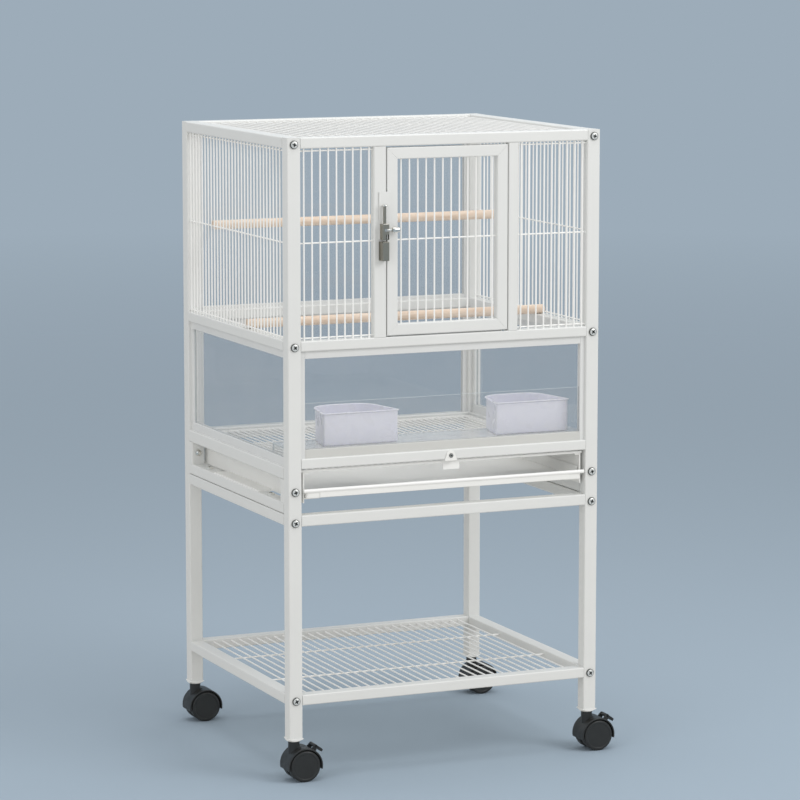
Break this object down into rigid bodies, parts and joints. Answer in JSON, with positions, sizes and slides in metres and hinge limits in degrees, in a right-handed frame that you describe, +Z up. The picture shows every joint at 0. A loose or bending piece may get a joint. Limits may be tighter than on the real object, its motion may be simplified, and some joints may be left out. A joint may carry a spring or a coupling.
{
  "type": "bird cage",
  "caption": "Tall white bird cage of square tube and wire with clear acrylic windows, feeders, perches and tray, on a stand with casters.",
  "frame": {"origin": "on the floor, under the middle of the whole object's box with the casters trailing to +X", "axes": "+Z up, +Y to the back, +X to the right seen from the door side"},
  "size_m": [0.5756, 0.4909, 1.009],
  "materials": {
    "white_coated_steel": "white powder coat, fine satin",
    "white_plastic": "moulded, matte",
    "clear_acrylic": "clear polished acrylic sheet",
    "milky_plastic": "milky translucent moulding",
    "pale_wood": "pale sanded wood, unvarnished",
    "bright_nickel": "bright nickel plate",
    "grey_zinc": "grey zinc, satin",
    "black_nylon": "black moulded nylon"
  },
  "bodies": {
    "cage": {"front_left_post": "white_coated_steel", "front_right_post": "white_coated_steel", "rear_left_post": "white_coated_steel", "rear_right_post": "white_coated_steel", "front_left_leg": "white_coated_steel", "front_right_leg": "white_coated_steel", "rear_left_leg": "white_coated_steel", "rear_right_leg": "white_coated_steel", "front_top_rail": "white_coated_steel", "front_middle_rail": "white_coated_steel", "front_lower_rail": "white_coated_steel", "left_mullion": "white_coated_steel", "right_mullion": "white_coated_steel", "rear_rails": "white_coated_steel", "side_rails": "white_coated_steel", "left_base_frame": "white_coated_steel", "right_base_frame": "white_coated_steel", "stand_top_rails": "white_coated_steel", "shelf_rails": "white_coated_steel", "left_wire_panel": "white_coated_steel", "right_wire_panel": "white_coated_steel", "front_wires": "white_coated_steel", "roof_wires": "white_coated_steel", "shelf_wires": "white_coated_steel", "front_channel": "white_coated_steel", "side_channels": "white_coated_steel", "rear_channels": "white_coated_steel", "tray_runners": "white_coated_steel", "leg_caps": "white_plastic", "left_window": "clear_acrylic", "right_window": "clear_acrylic", "rear_lower_window": "clear_acrylic", "rear_upper_window": "clear_acrylic", "feeder_bench": "clear_acrylic", "bolts": "bright_nickel", "latch_keeper": "grey_zinc"},
    "door": {"door_frame": "white_coated_steel", "door_wires": "white_coated_steel", "door_pins": "bright_nickel", "latch_housing": "grey_zinc"},
    "latch_bolt": {"latch_rod": "bright_nickel"},
    "latch_handle": {"latch_lever": "bright_nickel"},
    "half_panel": {"front_half_panel": "clear_acrylic"},
    "grate": {"floor_grate": "white_coated_steel"},
    "tray": {"tray": "white_coated_steel"},
    "keeper": {"grate_keeper": "white_coated_steel"},
    "feeder_left": {"left_feeder": "milky_plastic"},
    "feeder_right": {"right_feeder": "milky_plastic"},
    "perch_upper": {"upper_perch": "pale_wood"},
    "perch_lower": {"lower_perch": "pale_wood"},
    "caster_front_left": {"front_left_caster": "black_nylon"},
    "wheels_front_left": {"front_left_wheels": "black_nylon"},
    "caster_front_right": {"front_right_caster": "black_nylon"},
    "wheels_front_right": {"front_right_wheels": "black_nylon"},
    "caster_rear_left": {"rear_left_caster": "black_nylon"},
    "wheels_rear_left": {"rear_left_wheels": "black_nylon"},
    "caster_rear_right": {"rear_right_caster": "black_nylon"},
    "wheels_rear_right": {"rear_right_wheels": "black_nylon"},
    "brake_front_left": {"front_left_brake": "black_nylon"},
    "brake_front_right": {"front_right_brake": "black_nylon"}
  },
  "joints": [
    {"name": "door_swing", "type": "hinge", "parent": "cage", "child": "door", "pos_m": [0.086, -0.23, 0.843], "axis": [0, 0, 1], "range_deg": [0, 110]},
    {"name": "latch_lift", "type": "slide", "parent": "door", "child": "latch_bolt", "axis": [0, 0, 1], "range_m": [-0.012, 0]},
    {"name": "latch_turn", "type": "hinge", "parent": "latch_bolt", "child": "latch_handle", "pos_m": [-0.122, -0.2423, 0.863], "axis": [0, 0, -1], "range_deg": [0, 90]},
    {"name": "half_panel_lift", "type": "slide", "parent": "cage", "child": "half_panel", "axis": [0, 0, 1], "range_m": [0, 0.068]},
    {"name": "grate_pull", "type": "slide", "parent": "cage", "child": "grate", "axis": [0, -1, 0], "range_m": [0, 0.36]},
    {"name": "tray_pull", "type": "slide", "parent": "cage", "child": "tray", "axis": [0, -1, 0], "range_m": [0, 0.36]},
    {"name": "keeper_turn", "type": "hinge", "parent": "cage", "child": "keeper", "pos_m": [-0.0055, -0.2353, 0.502], "axis": [0, 1, 0], "range_deg": [0, 180]},
    {"name": "feeder_left_lift", "type": "slide", "parent": "cage", "child": "feeder_left", "axis": [0, 0, 1], "range_m": [0, 0.08]},
    {"name": "feeder_right_lift", "type": "slide", "parent": "cage", "child": "feeder_right", "axis": [0, 0, 1], "range_m": [0, 0.08]},
    {"name": "perch_upper_lift", "type": "slide", "parent": "cage", "child": "perch_upper", "axis": [0, 0, 1], "range_m": [0, 0.03]},
    {"name": "perch_lower_lift", "type": "slide", "parent": "cage", "child": "perch_lower", "axis": [0, 0, 1], "range_m": [0, 0.03]},
    {"name": "front_left_swivel", "type": "hinge", "parent": "cage", "child": "caster_front_left", "pos_m": [-0.2695, -0.223, 0.067], "axis": [0, 0, 1], "continuous": true},
    {"name": "front_left_roll", "type": "hinge", "parent": "caster_front_left", "child": "wheels_front_left", "pos_m": [-0.2565, -0.223, 0.025], "axis": [0, 1, 0], "continuous": true},
    {"name": "front_right_swivel", "type": "hinge", "parent": "cage", "child": "caster_front_right", "pos_m": [0.2435, -0.223, 0.067], "axis": [0, 0, 1], "continuous": true},
    {"name": "front_right_roll", "type": "hinge", "parent": "caster_front_right", "child": "wheels_front_right", "pos_m": [0.2565, -0.223, 0.025], "axis": [0, 1, 0], "continuous": true},
    {"name": "rear_left_swivel", "type": "hinge", "parent": "cage", "child": "caster_rear_left", "pos_m": [-0.2695, 0.223, 0.067], "axis": [0, 0, 1], "continuous": true},
    {"name": "rear_left_roll", "type": "hinge", "parent": "caster_rear_left", "child": "wheels_rear_left", "pos_m": [-0.2565, 0.223, 0.025], "axis": [0, 1, 0], "continuous": true},
    {"name": "rear_right_swivel", "type": "hinge", "parent": "cage", "child": "caster_rear_right", "pos_m": [0.2435, 0.223, 0.067], "axis": [0, 0, 1], "continuous": true},
    {"name": "rear_right_roll", "type": "hinge", "parent": "caster_rear_right", "child": "wheels_rear_right", "pos_m": [0.2565, 0.223, 0.025], "axis": [0, 1, 0], "continuous": true},
    {"name": "front_left_brake_press", "type": "hinge", "parent": "caster_front_left", "child": "brake_front_left", "pos_m": [-0.2365, -0.223, 0.054], "axis": [0, 1, 0], "range_deg": [0, 12]},
    {"name": "front_right_brake_press", "type": "hinge", "parent": "caster_front_right", "child": "brake_front_right", "pos_m": [0.2765, -0.223, 0.054], "axis": [0, 1, 0], "range_deg": [0, 12]}
  ]
}
